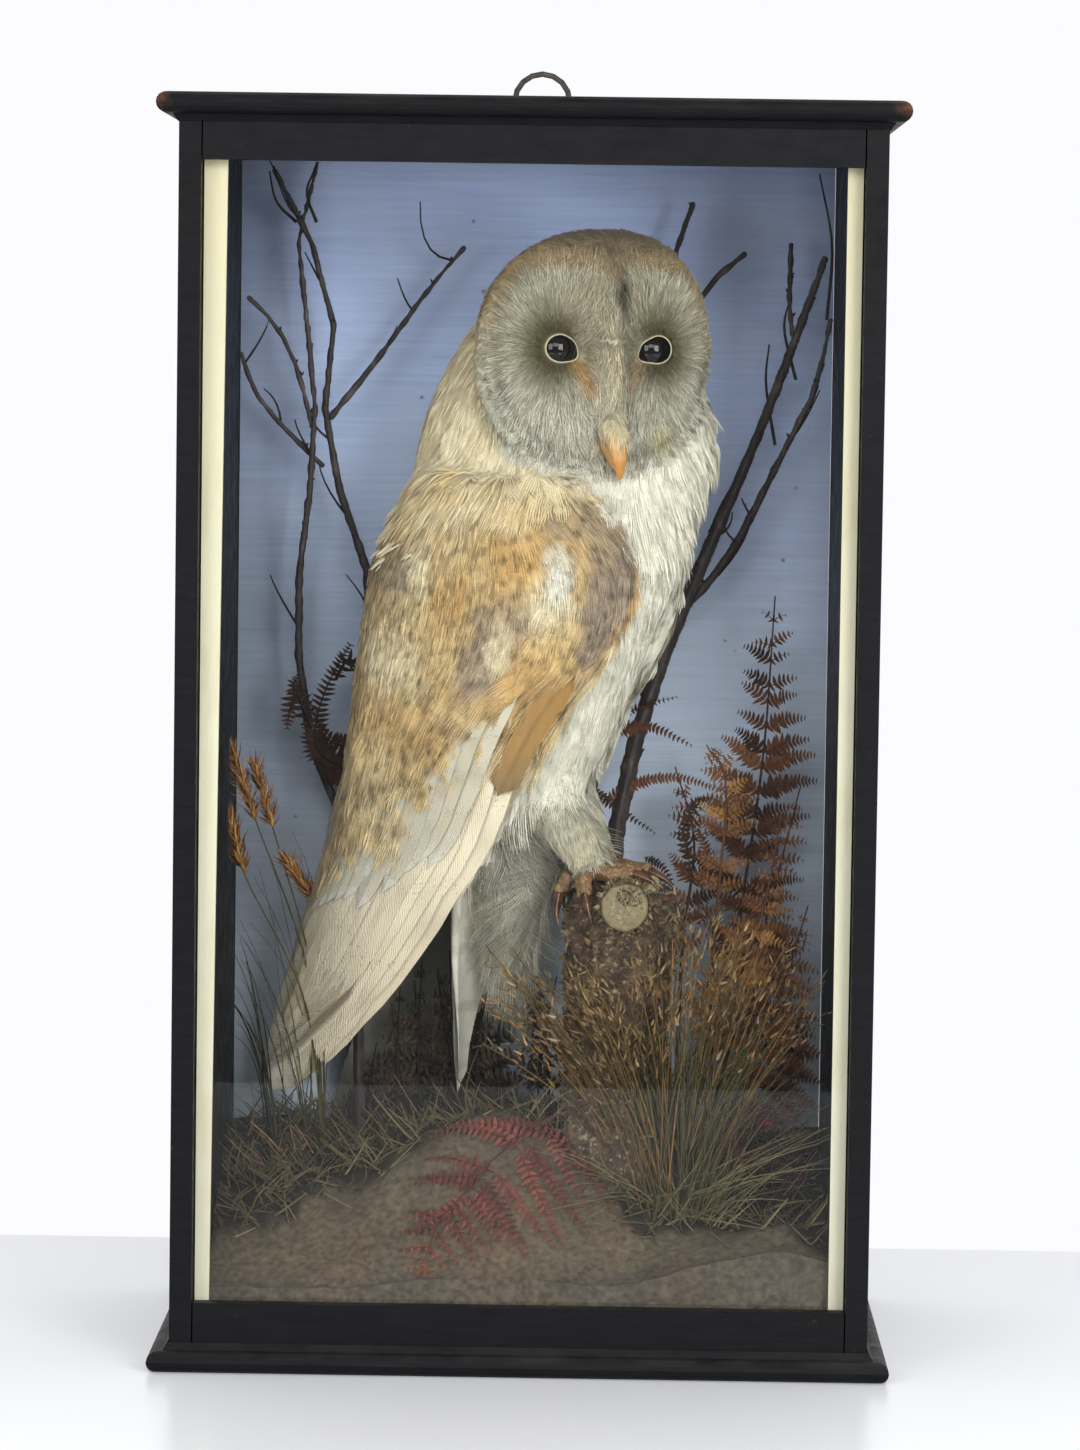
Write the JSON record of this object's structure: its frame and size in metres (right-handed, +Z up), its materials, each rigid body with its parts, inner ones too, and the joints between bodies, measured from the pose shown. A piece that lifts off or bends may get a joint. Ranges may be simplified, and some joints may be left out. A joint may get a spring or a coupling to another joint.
{
  "type": "taxidermy barn owl in a glazed wall case",
  "caption": "Barn owl mounted upright on a lichened stump among bracken and twigs, in a black glazed wooden case with a hanging ring; still, life size.",
  "frame": {"origin": "middle of the case's footprint, from the plinth's front edge to the back of the hanging ring, at the level that the case stands on", "axes": "+Z up, +Y from the glass towards the backboard, +X to the viewer's right"},
  "size_m": [0.2798, 0.1783, 0.499],
  "materials": {
    "ebonised_wood": "black ebonised wood with taped edges, satin, worn to bare wood at the lid's corners",
    "backdrop_paint": "sky-blue distemper brushed on board, paler towards the bottom, with fine dark specks",
    "case_glass": "thin old window glass, clear and polished",
    "slip_paper": "cream papered slips beside the glass",
    "iron": "blackened iron wire",
    "groundwork": "painted paper groundwork with sand glued on, grey-brown",
    "stump": "bark thickly grown with lichen and moss",
    "cut_wood": "pale sawn wood end with lichen specks",
    "bark": "dark twig bark, matt",
    "bracken": "dried bracken, rust brown",
    "dyed_fern": "dried fern dyed dull crimson",
    "dry_grass": "dried grasses, straw to olive brown",
    "eye_glass": "black glass eyes, high polish",
    "bill_horn": "pale horn with an orange tip, satin",
    "claw_horn": "dark brown horn, satin",
    "toe_skin": "dry tan skin with sparse bristles",
    "plumage": "soft matt feathers: white below, golden buff with grey vermiculation and small dark spots above"
  },
  "bodies": {
    "root": {"bill_lower": "bill_horn", "bill_upper": "bill_horn", "bracken_left": "bracken", "bracken_low": "bracken", "bracken_tall": "bracken", "branch_head_main": "bark", "branch_head_twig": "bark", "branch_left_main": "bark", "branch_left_second": "bark", "branch_left_twig_high": "bark", "branch_left_twig_inner": "bark", "branch_left_twig_low": "bark", "branch_right_main": "bark", "branch_right_second": "bark", "branch_right_twig": "bark", "case_back": "backdrop_paint", "case_floor": "ebonised_wood", "case_glass": "case_glass", "case_lid": "ebonised_wood", "case_plinth": "ebonised_wood", "case_rail_bottom": "ebonised_wood", "case_rail_top": "ebonised_wood", "case_side_left": "ebonised_wood", "case_side_right": "ebonised_wood", "case_slip_left": "slip_paper", "case_slip_right": "slip_paper", "claw_left_hind": "claw_horn", "claw_left_inner": "claw_horn", "claw_left_middle": "claw_horn", "claw_left_outer": "claw_horn", "claw_right_hind": "claw_horn", "claw_right_inner": "claw_horn", "claw_right_middle": "claw_horn", "claw_right_outer": "claw_horn", "eye_left": "eye_glass", "eye_right": "eye_glass", "fern_front": "dyed_fern", "fern_right": "dyed_fern", "foot_left": "toe_skin", "foot_right": "toe_skin", "grass_clump": "dry_grass", "grass_left": "dry_grass", "groundwork": "groundwork", "hanging_ring": "iron", "head": "plumage", "leg_left": "plumage", "leg_right": "plumage", "neck": "plumage", "perch_knob": "cut_wood", "perch_stub": "cut_wood", "perch_stump": "stump", "tail": "plumage", "trunk": "plumage", "wing_left": "plumage", "wing_right": "plumage"}
  },
  "joints": []
}
